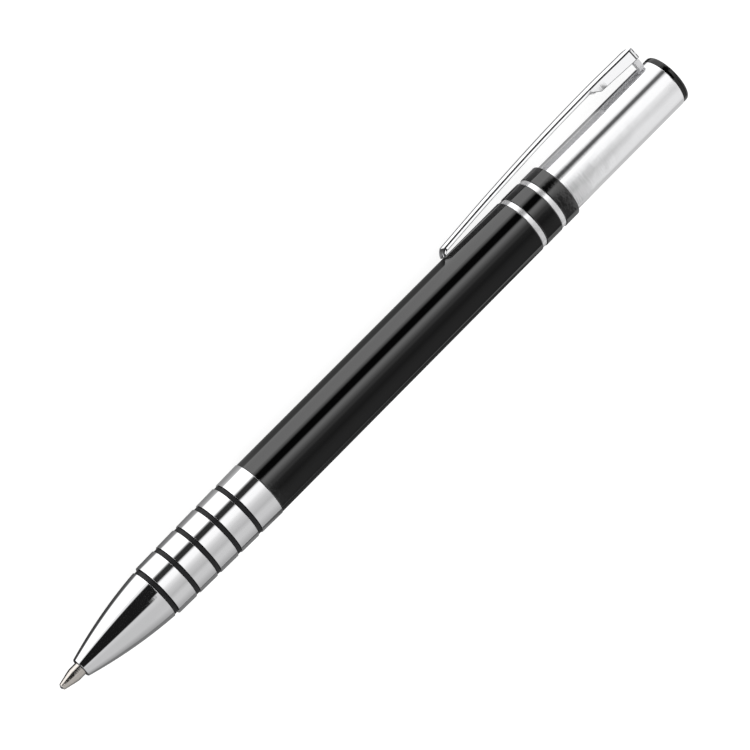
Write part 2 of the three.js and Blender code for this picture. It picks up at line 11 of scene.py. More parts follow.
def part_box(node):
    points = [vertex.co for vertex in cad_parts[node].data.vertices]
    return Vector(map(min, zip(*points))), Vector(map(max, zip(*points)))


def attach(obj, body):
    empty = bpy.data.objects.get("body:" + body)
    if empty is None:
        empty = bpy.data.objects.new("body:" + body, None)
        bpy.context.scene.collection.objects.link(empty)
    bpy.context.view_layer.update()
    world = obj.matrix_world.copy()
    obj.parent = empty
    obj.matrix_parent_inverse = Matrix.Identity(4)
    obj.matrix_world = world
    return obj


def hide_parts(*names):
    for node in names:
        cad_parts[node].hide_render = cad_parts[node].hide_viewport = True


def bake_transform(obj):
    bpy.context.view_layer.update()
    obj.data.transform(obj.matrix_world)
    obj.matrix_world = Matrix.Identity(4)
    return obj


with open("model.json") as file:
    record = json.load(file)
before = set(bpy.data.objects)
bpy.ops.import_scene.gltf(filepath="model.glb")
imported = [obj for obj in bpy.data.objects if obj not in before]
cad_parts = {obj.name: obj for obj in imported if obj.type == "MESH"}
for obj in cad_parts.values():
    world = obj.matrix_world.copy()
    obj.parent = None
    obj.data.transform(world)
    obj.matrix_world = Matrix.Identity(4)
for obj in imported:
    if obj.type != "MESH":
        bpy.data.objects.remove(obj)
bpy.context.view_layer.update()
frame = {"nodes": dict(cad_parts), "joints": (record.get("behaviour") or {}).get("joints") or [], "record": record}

MM = 0.001
AROUND = 160

# The pen's axis runs along X through the middle of the barrel. Stations are millimetres from the
# ball, radii millimetres from the axis.
barrel_low, barrel_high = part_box("barrel_tube")
AXIS_Y = (barrel_low.y + barrel_high.y) / 2
AXIS_Z = (barrel_low.z + barrel_high.z) / 2
BALL_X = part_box("writing_ball")[0].x
AXIS = Vector((0, AXIS_Y, AXIS_Z))


def axis_point(station):
    return AXIS + Vector((BALL_X + station * MM, 0, 0))


def span(node):
    """First station, last station and outer radius of a turned node."""
    low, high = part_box(node)
    return (low.x - BALL_X) / MM, (high.x - BALL_X) / MM, (high.z - low.z) / 2 / MM


# The clip leaves the axis on the +Y side, turned down until the pen lies on one of its edges
clip_joint = next(j for j in frame["joints"] if j["name"] == "clip_flex")
ACROSS = -Vector(clip_joint["axis"]).normalized()
CLIP_DIR = ACROSS.cross(Vector((1, 0, 0))).normalized()

SEAM = 0.03
BARREL_RADIUS = span("barrel_tube")[2]
SLEEVE_RADIUS = span("plunger_sleeve")[2]
SLEEVE_TOP = span("plunger_sleeve")[1]

# Sizes of the front section that its box doesn't give
NOSE_FACE = 4.2
NOSE_RADIUS = 1.65
CONE_LENGTH = 15.7
CONE_END_RADIUS = BARREL_RADIUS - 0.5
CONE_BULGE = 0.79
GRIP_START_RADIUS = BARREL_RADIUS - 0.3
GROOVE_WIDTH = 0.85
GROOVE_PITCH = 4.42
GROOVE_DEPTH = 0.6
NOSE_BEVEL = 0.13
SPIGOT_RADIUS = 4.15

# Its bore, from the barrel's end to the nose
REFILL_BORE = 3.1
BORE_CONE_START = 16.3
BORE_CONE_END = 15.8
SPRING_BORE = 2.6
SPRING_SEAT = 10.4
NECK_BORE = 1.95
NECK_BORE_END = 6.85
TIP_BORE = 1.35

# The refill's point: (station, radius) along its cone and behind its ball, and its shoulder
TIP_LIP = 0.52
TIP_MOUTH = 0.47
TIP_CONE = [(0.4, 0.6), (1.35, 0.82), (2.1, 1.01)]
TIP_CONE_END = 2.8
TIP_SHOULDER = 8.3
TIP_STEP = 0.16
INK_BORE = 0.35
BALL_SEAT = [(0.95, 0.35), (0.6, 0.52)]

# The sleeve, its cap and the spring
SLEEVE_BORE = 4.17
SLIDE_GAP = 0.045
CAP_STUD = 1.5
CAP_RIM = 0.35
CAP_CHAMFER = 0.06
WIRE_RADIUS = 0.2
SPRING_TURNS = 7
SPRING_EASE = 0.2

# Roundings of the turned pieces' edges
GRIP_EDGE = 0.04
RING_EDGE = 0.06
TUBE_EDGE = 0.14
SOFT_EDGE = 0.22
SLEEVE_EDGE = 0.12
TIP_EDGE = 0.05

# Sizes of the clip: widths, flange depths, lengths along the pen, and the height of its outer face
# over the barrel at distances forward of the sleeve's end
CLIP_HALF_TIP = 1.45
CLIP_HALF_HEAD = 2.0
CLIP_SHEET = 0.45
CLIP_ARM_DEPTH = 0.7
CLIP_STEP_DEPTH = 1.72
CLIP_HEAD_DEPTH = 2.02
CLIP_SETBACK = 0.46
CLIP_LENGTH = 46.3
CLIP_STEP_START = 10.6
CLIP_STEP_END = 9.1
CLIP_JOGGLE_TOP = 8.8
CLIP_JOGGLE_END = 7.8
CLIP_JOGGLE = 0.04
CLIP_CREST = [(45.0, 1.33), (34.3, 2.08), (21.2, 2.73), (9.6, 2.97), (2.7, 2.9)]
LEG_LENGTH = 1.0
LEG_WIDTH = 1.1
LEG_FOOT = 2.6
LEG_INSET = 0.1
SLOT_SIDE_GAP = 0.15
SLOT_END_GAP = 0.2
WEB_BEHIND_STEP = 0.5
OVERLAP = 0.1

# The clip's edges: its rear corners and rear edge, how far the flanges splay for their depth, the
# chamfer (down, across), and a rim that stands a little proud of the face
CLIP_REAR_CORNER = 1.05
CLIP_REAR_EDGE = 0.15
CLIP_TOE_TILT = 0.1
CLIP_ARM_TILT = 0.075
CLIP_CHAMFER = (0.27, 0.126)
CLIP_RIM = 0.05
CLIP_RIM_HEIGHT = 0.075
CLIP_RIM_SLOPE = 0.04

# Which strips of the clip's outline are edges, which take the dark chrome copy as painted shade, and which is the
# underside, which takes the pale copy as painted light
CLIP_SHADED_EDGE_STRIPS = (0, 2, 5, 7, 10, 12)
CLIP_UNDERSIDE = 6


# Meshes

def rounded(outline, size, steps=4, closed=True):
    """The outline with its sharp corners turned into small arcs, each held by a nearby point."""
    points = [Vector(p) for p in outline]
    count = len(points)
    result = []
    for i, here in enumerate(points):
        if not closed and i in (0, count - 1):
            result.append(here)
            continue
        before, after = points[i - 1], points[(i + 1) % count]
        back, on = before - here, after - here
        if min(back.length, on.length) < 1e-6:
            continue
        turn = math.pi - back.angle(on)
        if turn < math.radians(12):
            result.append(here)
            continue
        reach = min(size, 0.4 * back.length, 0.4 * on.length)
        hold = min(reach * 0.5, 0.05)
        start, end = here + back.normalized() * reach, here + on.normalized() * reach
        result.append(start + back.normalized() * hold)
        for k in range(steps + 1):
            t = k / steps
            result.append(start * (1 - t) ** 2 + here * (2 * t * (1 - t)) + end * t**2)
        result.append(end + on.normalized() * hold)
    return [tuple(p) for p in result]


def make_object(name, bm, material, smooth_angle=50):
    mesh = bpy.data.meshes.new(name)
    bmesh.ops.recalc_face_normals(bm, faces=bm.faces)
    bm.to_mesh(mesh)
    bm.free()
    mesh.materials.append(material)
    for polygon in mesh.polygons:
        polygon.use_smooth = True
    mesh.set_sharp_from_angle(angle=math.radians(smooth_angle))
    obj = bpy.data.objects.new(name, mesh)
    bpy.context.scene.collection.objects.link(obj)
    return obj


def lathe(name, outline, material, around=AROUND, closed=True):
    """A turned piece from (station, radius) pairs; an open outline starts and ends on the axis."""
    bm = bmesh.new()
    rings = []
    for station, radius in outline:
        centre = axis_point(station)
        if radius < 1e-6:
            rings.append([bm.verts.new(centre)])
            continue
        ring = []
        for k in range(around):
            angle = 2 * math.pi * k / around
            out = CLIP_DIR * math.cos(angle) + ACROSS * math.sin(angle)
            ring.append(bm.verts.new(centre + out * (radius * MM)))
        rings.append(ring)
    pairs = list(zip(rings, rings[1:]))
    if closed:
        pairs.append((rings[-1], rings[0]))
    for a, b in pairs:
        for k in range(around):
            n = (k + 1) % around
            corners = [a[k % len(a)], a[n % len(a)], b[n % len(b)], b[k % len(b)]]
            unique = list(dict.fromkeys(corners))
            if len(unique) > 2:
                bm.faces.new(unique)
    return make_object(name, bm, material)


def wire(name, points, radius, material, sides=12):
    """A round wire along the points, with flat ends."""
    bm = bmesh.new()
    rings = []
    for i, here in enumerate(points):
        ahead = (points[min(i + 1, len(points) - 1)] - points[max(i - 1, 0)]).normalized()
        out = (here - AXIS).cross(Vector((1, 0, 0))).cross(ahead).normalized()
        aside = ahead.cross(out)
        ring = []
        for k in range(sides):
            angle = 2 * math.pi * k / sides
            ring.append(bm.verts.new(here + (out * math.cos(angle) + aside * math.sin(angle)) * radius))
        rings.append(ring)
    for a, b in zip(rings, rings[1:]):
        for k in range(sides):
            n = (k + 1) % sides
            bm.faces.new((a[k], a[n], b[n], b[k]))
    bm.faces.new(rings[0])
    bm.faces.new(rings[-1])
    return make_object(name, bm, material)


def clip_point(station, height, across):
    """A point given by its station, its height along the clip's side and its place across."""
    return axis_point(station) + (CLIP_DIR * height + ACROSS * across) * MM


def block(name, stations, heights, across, material):
    bm = bmesh.new()
    corners = [
        bm.verts.new(clip_point(station, height, place_across))
        for station in stations for height in heights for place_across in across
    ]
    for face in ((0, 1, 3, 2), (4, 6, 7, 5), (0, 4, 5, 1), (2, 3, 7, 6), (0, 2, 6, 4), (1, 5, 7, 3)):
        bm.faces.new([corners[k] for k in face])
    return make_object(name, bm, material)


def combine(piece, tool, operation):
    """Joins the tool to the piece or cuts it away, and removes the tool."""
    modifier = piece.modifiers.new("combine", "BOOLEAN")
    modifier.operation = operation
    modifier.object = tool
    modifier.solver = "EXACT"
    modifier.material_mode = "TRANSFER"
    bpy.context.view_layer.update()
    evaluated = piece.evaluated_get(bpy.context.evaluated_depsgraph_get())
    mesh = bpy.data.meshes.new_from_object(evaluated)
    piece.modifiers.clear()
    piece.data = mesh
    bpy.data.objects.remove(tool)
    return piece


def place(piece, body, slot, *nodes):
    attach(piece, body)
    if nodes:
        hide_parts(*nodes)
    return piece


# Materials

def add_node(tree, kind, inputs, settings):
    """A node with its settings, and its inputs linked to sockets or set to values."""
    node = tree.nodes.new(kind)
    for name, value in settings.items():
        setattr(node, name, value)
    for name, value in (inputs or {}).items():
        if isinstance(value, bpy.types.NodeSocket):
            tree.links.new(value, node.inputs[name])
        else:
            node.inputs[name].default_value = value
    return node


class Shader:
    """A material with a principled surface, and a few helpers for its nodes."""

    def __init__(self, name, color, roughness, metallic=0.0, **inputs):
        self.material = bpy.data.materials.new(name)
        self.material.use_nodes = True
        self.tree = self.material.node_tree
        self.surface = self.tree.nodes["Principled BSDF"]
        self.set(Base_Color=(*color, 1), Roughness=roughness, Metallic=metallic, **inputs)
        self.coords = self.node("ShaderNodeTexCoord").outputs["Object"]

    def set(self, **inputs):
        for name, value in inputs.items():
            self.surface.inputs[name.replace("_", " ")].default_value = value

    def node(self, kind, inputs=None, **settings):
        return add_node(self.tree, kind, inputs, settings)

    def stretched(self, scale):
        return self.node(
            "ShaderNodeMapping", {"Vector": self.coords, "Scale": scale}
        ).outputs["Vector"]

    def noise(self, scale, stretch=(1, 1, 1), detail=3, roughness=0.5):
        inputs = {
            "Vector": self.stretched(stretch), "Scale": scale, "Detail": detail,
            "Roughness": roughness,
        }
        return self.node("ShaderNodeTexNoise", inputs).outputs["Fac"]

    def spread(self, value, low, high, start=0.3, end=0.7):
        inputs = {
            "Value": value, "From Min": start, "From Max": end, "To Min": low, "To Max": high,
        }
        return self.node("ShaderNodeMapRange", inputs).outputs["Result"]

    def mix(self, factor, first, second):
        node = self.node("ShaderNodeMix", {"Factor": factor}, data_type="RGBA")
        node.inputs["A"].default_value = (*first, 1)
        node.inputs["B"].default_value = (*second, 1)
        return node.outputs["Result"]

    def link(self, output, name):
        self.tree.links.new(output, self.surface.inputs[name])

    def bump(self, height, strength, distance):
        inputs = {"Height": height, "Strength": strength, "Distance": distance}
        self.link(self.node("ShaderNodeBump", inputs).outputs["Normal"], "Normal")


def chrome_material(name, low, high, patch, level=0.86, metallic=1.0):
    """Plating: a fine turned grain, and a haze that varies in patches along the metal."""
    chrome = Shader(name, (level, level, level), (low + high) / 2, metallic=metallic)
    haze = chrome.noise(patch, detail=4)
    chrome.link(chrome.spread(haze, low, high), "Roughness")
    dull, bright = ((shade, shade, shade + 0.01) for shade in (level - 0.02, level + 0.02))
    chrome.link(chrome.mix(haze, dull, bright), "Base Color")
    grain = chrome.noise(900, stretch=(6, 0.4, 0.4), detail=2)
    chrome.bump(grain, 0.012, 0.0002)
    return chrome.material


def lacquer_material(name, gloss):
    """Black gloss lacquer with the faintest orange peel and haze."""
    lacquer = Shader(name, (0.0008, 0.0008, 0.0009), 0.03, Specular_IOR_Level=gloss)
    haze = lacquer.noise(220, detail=4)
    lacquer.link(lacquer.spread(haze, 0.015, 0.045), "Roughness")
    lacquer.link(lacquer.mix(haze, (0.0004, 0.0004, 0.0005), (0.0012, 0.0012, 0.0013)), "Base Color")
    lacquer.bump(lacquer.noise(1400, detail=2), 0.012, 0.0001)
    return lacquer.material


def rubber_material():
    rubber = Shader("black_rubber", (0.009, 0.009, 0.01), 0.4, Specular_IOR_Level=0.24)
    grain = rubber.noise(2600, detail=3)
    rubber.link(rubber.spread(grain, 0.3, 0.5), "Roughness")
    rubber.link(rubber.mix(grain, (0.006, 0.006, 0.007), (0.013, 0.013, 0.014)), "Base Color")
    rubber.bump(grain, 0.15, 0.0001)
    return rubber.material


def turned_metal(name, light, dark, low, high):
    """Turned or drawn metal: fine rings of tool marks round the axis."""
    metal = Shader(name, light, (low + high) / 2, metallic=1.0)
    marks = metal.noise(1500, stretch=(8, 0.3, 0.3), detail=3)
    metal.link(metal.spread(marks, low, high), "Roughness")
    metal.link(metal.mix(marks, dark, light), "Base Color")
    metal.bump(marks, 0.08, 0.0002)
    return metal.material


def moulded_plastic(name, light, dark):
    plastic = Shader(name, light, 0.45)
    grain = plastic.noise(1800, detail=3)
    plastic.link(plastic.spread(grain, 0.38, 0.55), "Roughness")
    plastic.link(plastic.mix(grain, dark, light), "Base Color")
    plastic.bump(grain, 0.1, 0.0001)
    return plastic.material


CHROME = chrome_material("chrome", 0.03, 0.07, 160)
SLEEVE_CHROME = chrome_material("sleeve_chrome", 0.05, 0.12, 420)
# A paler, half-matt copy of the chrome, painted light: it lightens the clip's shaded underside and the inside of
# its head, and sets its leg and bridge to a light grey
PAINTED_LIGHT_CHROME = chrome_material("painted_light_chrome", 0.28, 0.45, 900, level=0.92, metallic=0.2)
RING_CHROME = chrome_material("ring_chrome", 0.1, 0.22, 300, level=0.9, metallic=0.62)
# A darker copy of the chrome, painted shade: it darkens the nose's face and bevel, and the clip's rims, chamfers
# and lower edges
PAINTED_SHADE_CHROME = chrome_material("painted_shade_chrome", 0.1, 0.2, 900, level=0.24)
LACQUER = lacquer_material("black_lacquer", 1.0)
CAP_LACQUER = lacquer_material("cap_lacquer", 0.5)
RUBBER = rubber_material()
NICKEL_SILVER = turned_metal("nickel_silver", (0.72, 0.68, 0.64), (0.6, 0.56, 0.52), 0.12, 0.24)
BRASS = turned_metal("brass", (0.78, 0.66, 0.38), (0.66, 0.53, 0.28), 0.2, 0.35)
STEEL = turned_metal("steel", (0.68, 0.69, 0.70), (0.56, 0.57, 0.58), 0.18, 0.32)
CARBIDE = turned_metal("carbide", (0.58, 0.58, 0.60), (0.5, 0.5, 0.52), 0.08, 0.14)
WHITE_PLASTIC = moulded_plastic("white_plastic", (0.86, 0.86, 0.83), (0.78, 0.78, 0.75))
BLACK_PLASTIC = moulded_plastic("black_plastic", (0.035, 0.035, 0.037), (0.02, 0.02, 0.022))

SLOT_MATERIALS = {
    "chrome": CHROME, "black_lacquer": LACQUER, "black_rubber": RUBBER, "brass": BRASS,
    "nickel_silver": NICKEL_SILVER, "steel": STEEL, "carbide": CARBIDE,
    "white_plastic": WHITE_PLASTIC, "black_plastic": BLACK_PLASTIC,
}


# Pieces

_, grip_end, grip_end_radius = span("front_section")
JOINT = span("barrel_tube")[0]
FIRST_GROOVE = NOSE_FACE + CONE_LENGTH


def grip_radius(station):
    start = FIRST_GROOVE + GROOVE_WIDTH
    share = (station - start) / (JOINT - start)
    return GRIP_START_RADIUS + share * (grip_end_radius - GRIP_START_RADIUS)


def groove_start(index):
    return FIRST_GROOVE + index * GROOVE_PITCH


def lip_radius(index):
    return CONE_END_RADIUS if index == 0 else grip_radius(groove_start(index))


def cone(points=36):
    """The nose cone's curve, from the nose face to the first groove."""
    bulge = NOSE_RADIUS + (CONE_END_RADIUS - NOSE_RADIUS) * CONE_BULGE
    for k in range(points + 1):
        t = k / points
        station = NOSE_FACE + CONE_LENGTH * t
        yield (station, NOSE_RADIUS * (1 - t) ** 2 + 2 * bulge * t * (1 - t) + CONE_END_RADIUS * t**2)


def front_section():
    """Nose cone and grip in one piece, with five grooves and the bore for the refill."""
    outline = list(cone())
    bevel_end = NOSE_FACE + NOSE_BEVEL
    share = NOSE_BEVEL / (outline[1][0] - NOSE_FACE)
    bevel_top = NOSE_RADIUS + share * (outline[1][1] - NOSE_RADIUS)
    outline[0:1] = [(NOSE_FACE, NOSE_RADIUS - NOSE_BEVEL), (bevel_end, bevel_top)]
    for index in range(5):
        start = groove_start(index)
        end = start + GROOVE_WIDTH
        floor = lip_radius(index) - GROOVE_DEPTH
        rear = GRIP_START_RADIUS if index == 0 else grip_radius(end)
        if index:
            outline.append((start, lip_radius(index)))
        outline += [(start, floor), (end, floor), (end, rear)]
    outline += [(JOINT - SEAM, grip_end_radius), (JOINT - SEAM, SPIGOT_RADIUS)]
    outline += [(grip_end, SPIGOT_RADIUS), (grip_end, REFILL_BORE)]
    outline += [(BORE_CONE_START, REFILL_BORE), (BORE_CONE_END, SPRING_BORE)]
    outline += [(SPRING_SEAT, SPRING_BORE), (SPRING_SEAT, NECK_BORE), (NECK_BORE_END, NECK_BORE)]
    outline += [(NECK_BORE_END, TIP_BORE), (NOSE_FACE, TIP_BORE)]
    piece = lathe("grip_shell", rounded(outline, GRIP_EDGE), CHROME)
    # The nose's face and its bevel take the dark chrome copy: painted shade
    piece.data.materials.append(PAINTED_SHADE_CHROME)
    for polygon in piece.data.polygons:
        if polygon.center.x < axis_point(bevel_end).x:
            polygon.material_index = 1
    return place(piece, "barrel", "chrome", "front_section")


def grip_ring(index):
    node = f"grip_ring_{index + 1}"
    start, end, radius = span(node)
    inner = lip_radius(index) - GROOVE_DEPTH + SEAM
    outline = [(start, inner), (start, radius), (end, radius), (end, inner)]
    piece = lathe(f"ring_{index + 1}", rounded(outline, SOFT_EDGE, steps=6), RUBBER)
    return place(piece, "barrel", "black_rubber", node)


def simple_tube(node, name, inner, edge, slot, body, material=None):
    """A turned tube between a node's ends, with rounded outer edges."""
    start, end, radius = span(node)
    outline = [(start, inner), (start, radius), (end, radius), (end, inner)]
    piece = lathe(name, rounded(outline, edge), material or SLOT_MATERIALS[slot])
    return place(piece, body, slot, node)


BARREL_BORE = span("thread_insert")[2] + SEAM


def guide_bush():
    start, end, radius = span("guide_bush")
    bore = SLEEVE_RADIUS + SLIDE_GAP
    shoulder = span("collar_ring_2")[1] + SEAM
    outline = [
        (start, bore), (start, BARREL_BORE - SEAM), (shoulder, BARREL_BORE - SEAM),
        (shoulder, radius), (end, radius), (end, bore),
    ]
    piece = lathe("collar_end", rounded(outline, SOFT_EDGE, steps=6), LACQUER)
    return place(piece, "barrel", "black_lacquer", "guide_bush")


front_section()
for ring_index in range(5):
    grip_ring(ring_index)
simple_tube("barrel_tube", "barrel", BARREL_BORE, TUBE_EDGE, "black_lacquer", "barrel")
simple_tube("collar_ring_1", "bright_ring_1", BARREL_BORE, RING_EDGE, "chrome", "barrel", RING_CHROME)
simple_tube("collar_band", "collar_middle", BARREL_BORE, TUBE_EDGE, "black_lacquer", "barrel")
simple_tube("collar_ring_2", "bright_ring_2", BARREL_BORE, RING_EDGE, "chrome", "barrel", RING_CHROME)
guide_bush()


def writing_point():
    """The refill's point: turned cone with a crimped lip, and the ball that it holds."""
    start, end, radius = span("refill_tip")
    neck = radius - TIP_STEP
    outline = [(start, TIP_LIP), *TIP_CONE, (TIP_CONE_END, radius), (TIP_SHOULDER, radius)]
    outline += [(TIP_SHOULDER, neck), (end, neck), (end, INK_BORE), *BALL_SEAT, (start, TIP_MOUTH)]
    piece = lathe("writing_point", rounded(outline, TIP_EDGE), NICKEL_SILVER, around=96)
    place(piece, "refill", "nickel_silver", "refill_tip")
    ball_start, ball_end, ball_radius = span("writing_ball")
    middle = (ball_start + ball_end) / 2
    arc = [
        (middle - ball_radius * math.cos(math.pi * k / 24), ball_radius * math.sin(math.pi * k / 24))
        for k in range(25)
    ]
    ball = lathe("ball", arc, CARBIDE, around=48, closed=False)
    place(ball, "ball", "carbide", "writing_ball")


writing_point()


def sleeve():
    """Chrome sleeve, slotted at its end for the clip's leg."""
    start, end, radius = span("plunger_sleeve")
    outline = [(start, SLEEVE_BORE), (start, radius), (end, radius), (end, SLEEVE_BORE)]
    piece = lathe("sleeve", rounded(outline, SLEEVE_EDGE), SLEEVE_CHROME)
    rear = SLEEVE_TOP - CLIP_SETBACK - LEG_INSET
    half = LEG_WIDTH / 2 + SLOT_SIDE_GAP
    along, up = (rear - LEG_LENGTH - SLOT_END_GAP, end + 1), (LEG_FOOT - SLOT_END_GAP, BARREL_RADIUS + 1)
    slot = block("slot", along, up, (-half, half), CHROME)
    return place(combine(piece, slot, "DIFFERENCE"), "plunger", "chrome", "plunger_sleeve")


def end_cap():
    """Black disc with a rounded rim, on the stud that holds it."""
    start, end, radius = span("end_cap")
    seat = SLEEVE_TOP + SEAM
    edge = [
        (end - CAP_RIM + CAP_RIM * math.cos(turn), radius - CAP_RIM + CAP_RIM * math.sin(turn))
        for turn in (math.radians(90 - 10 * k) for k in range(10))
    ]
    outline = [(start, 0), (start, CAP_STUD), (seat, CAP_STUD)]
    outline += [(seat, radius - CAP_CHAMFER), (seat + CAP_CHAMFER, radius), *edge, (end, 0)]
    piece = lathe("cap", outline, CAP_LACQUER, closed=False)
    return place(piece, "plunger", "black_lacquer", "end_cap")


def curve_through(points, x):
    """Smooth curve through (x, y) points in rising order of x."""
    k = max(i for i in range(len(points) - 1) if i == 0 or points[i][0] <= x)
    (x0, y0), (x1, y1) = points[k], points[k + 1]

    def slope(i):
        a, b = points[max(i - 1, 0)], points[min(i + 1, len(points) - 1)]
        return (b[1] - a[1]) / (b[0] - a[0])

    reach = x1 - x0
    t = (x - x0) / reach
    rise = slope(k) * reach * (t**3 - 2 * t**2 + t) + slope(k + 1) * reach * (t**3 - t**2)
    return y0 * (2 * t**3 - 3 * t**2 + 1) + y1 * (3 * t**2 - 2 * t**3) + rise


def linear(points, x):
    """Straight runs between (x, y) points, level past both ends."""
    if x <= points[0][0]:
        return points[0][1]
    for (x0, y0), (x1, y1) in zip(points, points[1:]):
        if x <= x1:
            return y0 + (y1 - y0) * (x - x0) / (x1 - x0)
    return points[-1][1]


class ClipForm:
    """Heights and widths of the clip at a distance forward of the sleeve's end."""

    end = CLIP_SETBACK
    toe = CLIP_LENGTH
    ground = BARREL_RADIUS + 0.15
    # The foot, from the toe backwards: distance from the toe, height over the barrel's gap
    foot_top = [(0, 0.1), (0.2, 0.36), (0.75, 0.82), (1.3, 1.18)]
    foot_under = [(0, 0.06), (0.1, 0), (0.45, 0), (0.95, 0.3), (1.4, 0.6)]

    def crest(self, forward):
        """The outer face without its foot and its rear edge."""
        points = [(at, BARREL_RADIUS + rise) for at, rise in reversed(CLIP_CREST)]
        return curve_through(points, max(forward, points[0][0]))

    def top(self, forward):
        behind = self.toe - forward
        if behind < self.foot_top[-1][0]:
            return self.ground + curve_through(self.foot_top, behind)
        height = self.crest(forward)
        reach = forward - self.end
        if reach < CLIP_REAR_EDGE:
            left = CLIP_REAR_EDGE - reach
            height -= CLIP_REAR_EDGE - math.sqrt(max(CLIP_REAR_EDGE**2 - left**2, 0))
        return height

    def under(self, forward):
        behind = self.toe - forward
        if behind < self.foot_under[-1][0]:
            return self.ground + curve_through(self.foot_under, behind)
        depth = linear(
            [(self.end, CLIP_HEAD_DEPTH), (CLIP_STEP_END, CLIP_STEP_DEPTH),
             (CLIP_STEP_START, CLIP_ARM_DEPTH)], forward)
        return self.crest(forward) - depth

    def half(self, forward):
        behind = self.toe - forward
        if behind < CLIP_HALF_TIP:
            return math.sqrt(max(CLIP_HALF_TIP**2 - (CLIP_HALF_TIP - behind) ** 2, 0.01))
        half = linear(
            [(CLIP_STEP_START, CLIP_HALF_HEAD), (self.toe - CLIP_HALF_TIP, CLIP_HALF_TIP)], forward)
        reach = forward - self.end
        if reach < CLIP_REAR_CORNER:
            left = CLIP_REAR_CORNER - reach
            half -= CLIP_REAR_CORNER - math.sqrt(max(CLIP_REAR_CORNER**2 - left**2, 0))
        return half

    def crease(self, forward):
        """Depth of the crease above the facet that leads into the head's deep flange."""
        total = self.top(forward) - self.under(forward)
        if CLIP_JOGGLE_END < forward < CLIP_STEP_START:
            return min(linear([(CLIP_JOGGLE_END, CLIP_STEP_DEPTH - 0.15), (CLIP_JOGGLE_TOP, 0.85),
                               (CLIP_STEP_START, 0.62)], forward), total - 0.12)
        return 0.6 * total

    def tuck(self, forward):
        """How far the flange's lower edge leans inwards at that facet."""
        facet = [(CLIP_JOGGLE_END, 0), (CLIP_STEP_END, CLIP_JOGGLE), (CLIP_STEP_START, 0)]
        return linear(facet, forward)

    def section(self, forward):
        """Half of the outline, (height, across) from the middle of the crest down to the underside."""
        top, under, half = self.top(forward), self.under(forward), self.half(forward)
        thick = top - under
        # Where the sheet is thin or narrow, at the foot, its edges shrink with it
        up, into = CLIP_CHAMFER
        up, into = min(up, 0.4 * thick), min(into, 0.3 * half)
        low = min(0.1, 0.2 * thick)
        tuck = self.tuck(forward)
        crease = top - self.crease(forward)
        face = top - min(CLIP_RIM_HEIGHT, 0.18 * thick)
        splay = linear([(CLIP_STEP_START, 0), (CLIP_STEP_START + 0.5, CLIP_ARM_TILT)], forward)
        if self.toe - forward < CLIP_HALF_TIP - 0.01:
            splay = CLIP_TOE_TILT
        tilt = min(splay * thick, 0.1 * half)
        rim = max(min(CLIP_RIM, 0.1 * half), tilt + 0.002)
        slope = min(CLIP_RIM_SLOPE, 0.1 * half)
        return [
            (face, half - into - rim - slope), (top, half - into - rim), (top, half - into - tilt),
            (top - up, half - tilt), (crease, half - tilt / 2), (under + low, half - tuck),
            (under, half - tuck - min(low, 0.2 * half)),
        ]


def clip_stations(form):
    """Distances along the clip, closer together where its outline turns."""
    marks = [
        (form.end, 10), (form.end + CLIP_REAR_EDGE, 24), (form.end + CLIP_REAR_CORNER, 12),
        (CLIP_JOGGLE_END, 6), (CLIP_JOGGLE_TOP, 4),
        (CLIP_STEP_END, 6), (CLIP_STEP_START, 40), (form.toe - 3, 10), (form.toe - CLIP_HALF_TIP, 30),
    ]
    stations = []
    for (start, steps), (finish, _) in zip(marks, marks[1:] + [(form.toe, 0)]):
        for k in range(steps):
            share = k / steps
            if start == form.end:
                share = 1 - math.cos(share * math.pi / 2)
            if finish == form.toe:
                share = math.sin(share * math.pi / 2)
            stations.append(start + (finish - start) * share)
    return stations + [form.toe - 0.004]


